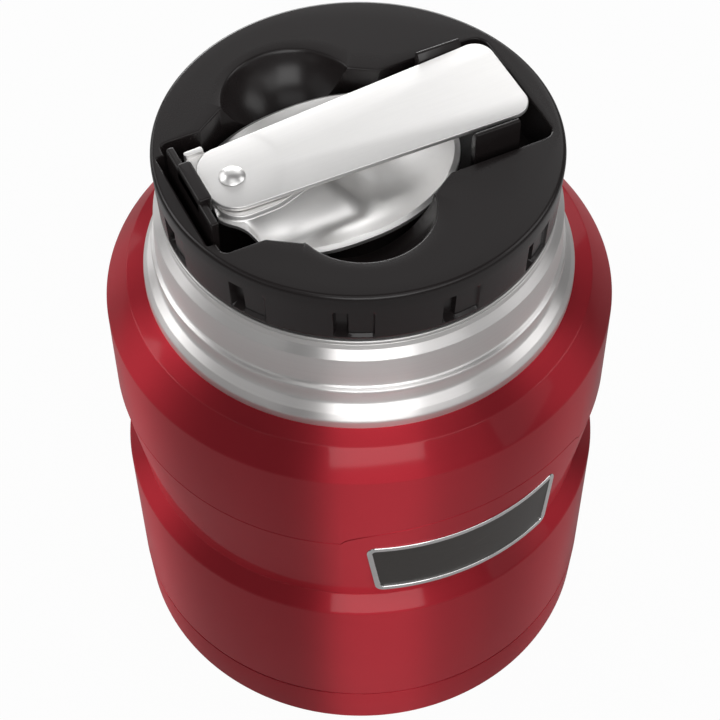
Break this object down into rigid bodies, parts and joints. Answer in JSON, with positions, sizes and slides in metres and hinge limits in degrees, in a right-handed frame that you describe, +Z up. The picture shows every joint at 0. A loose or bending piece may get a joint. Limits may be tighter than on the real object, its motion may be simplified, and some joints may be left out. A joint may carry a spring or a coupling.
{
  "type": "insulated food jar",
  "caption": "Steel vacuum jar with a bare neck, screw-in stopper and a folding spoon stowed in the stopper's top.",
  "frame": {"origin": "centre of the base on the table", "axes": "+Z up through the neck; +X along the stowed spoon, from its rivet to its free end; -Y through the badge"},
  "size_m": [0.094, 0.094, 0.1256],
  "materials": {
    "red_coat": "clear tinted gloss coat on steel",
    "steel": "satin",
    "polished_steel": "polished",
    "seal_glass": "solder glass bead",
    "getter_metal": "sintered",
    "foil": "bright foil",
    "badge_chrome": "polished",
    "badge_grey": "satin dark grey",
    "black_plastic": "fine moulded texture",
    "white_foam": "expanded foam",
    "silicone": "grey silicone",
    "spoon_steel": "satin with a fine grain"
  },
  "bodies": {
    "jar": {"outer_shell": "red_coat", "base_cup": "red_coat", "vacuum_plate": "steel", "vacuum_seal": "seal_glass", "getter": "getter_metal", "inner_vessel": "steel", "radiation_foil": "foil", "neck_collar": "polished_steel", "badge_frame": "badge_chrome", "badge_inlay": "badge_grey"},
    "gasket": {"stopper_gasket": "silicone"},
    "stopper": {"stopper_cap": "black_plastic", "stopper_plug": "black_plastic", "stopper_foam": "white_foam"},
    "spoon": {"spoon_bowl": "spoon_steel", "spoon_rivet": "spoon_steel"},
    "handle": {"spoon_handle": "spoon_steel"}
  },
  "joints": [
    {"name": "stopper_rise", "type": "slide", "parent": "jar", "child": "gasket", "axis": [0, 0, 1], "range_m": [0, 0.0261]},
    {"name": "stopper_turn", "type": "hinge", "parent": "gasket", "child": "stopper", "pos_m": [0, 0, 0.1], "axis": [0, 0, 1], "range_deg": [0, 1170]},
    {"name": "spoon_lift", "type": "slide", "parent": "stopper", "child": "spoon", "axis": [0, 0, 1], "range_m": [0, 0.15]},
    {"name": "spoon_unfold", "type": "hinge", "parent": "spoon", "child": "handle", "pos_m": [-0.02355, 0, 0.12355], "axis": [0.034, 0, -0.9994], "range_deg": [0, 180]}
  ],
  "couplings": [
    {"joint": "stopper_rise", "follows": "stopper_turn", "m_per_rad": 0.0012732},
    {"joint": "spoon_unfold", "follows": "spoon_lift", "rad_per_m": 20.943}
  ]
}
